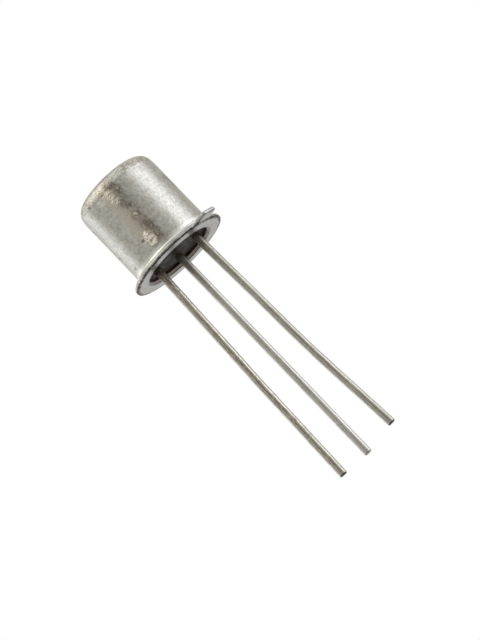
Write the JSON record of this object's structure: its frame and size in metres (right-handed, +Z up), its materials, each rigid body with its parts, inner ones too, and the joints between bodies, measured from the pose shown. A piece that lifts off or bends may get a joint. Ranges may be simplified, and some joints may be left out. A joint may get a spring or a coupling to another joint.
{
  "type": "npn transistor",
  "caption": "Small npn transistor: a drawn metal can on a stamped header with an index tab, and round leads held in dark glass that splay a little below it.",
  "frame": {"origin": "centre of the lead circle on the seating plane, the flat underside of the header's flange", "axes": "+Z up the axis of the can, leads down -Z; emitter lead on the +X side, base lead on the +Y side, collector lead on the -X side; index tab between +X and -Y"},
  "size_m": [0.0057, 0.0056, 0.0187],
  "materials": {
    "can_nickel": "satin nickel plate, handled, with fine scratches and specks",
    "header_plating": "matt nickel plate on stamped alloy",
    "seal_glass": "dark sealing glass",
    "lead_metal": "drawn wire, dull and slightly brown, with lengthwise streaks",
    "silicon": "polished silicon with oxide",
    "gold_alloy": "fused gold alloy",
    "bond_aluminium": "fine drawn wire"
  },
  "bodies": {
    "root": {"can": "can_nickel", "header": "header_plating", "glass_seal": "seal_glass", "emitter_lead": "lead_metal", "base_lead": "lead_metal", "collector_lead": "lead_metal", "die": "silicon", "die_attach": "gold_alloy", "emitter_wire": "bond_aluminium", "base_wire": "bond_aluminium"}
  },
  "joints": []
}
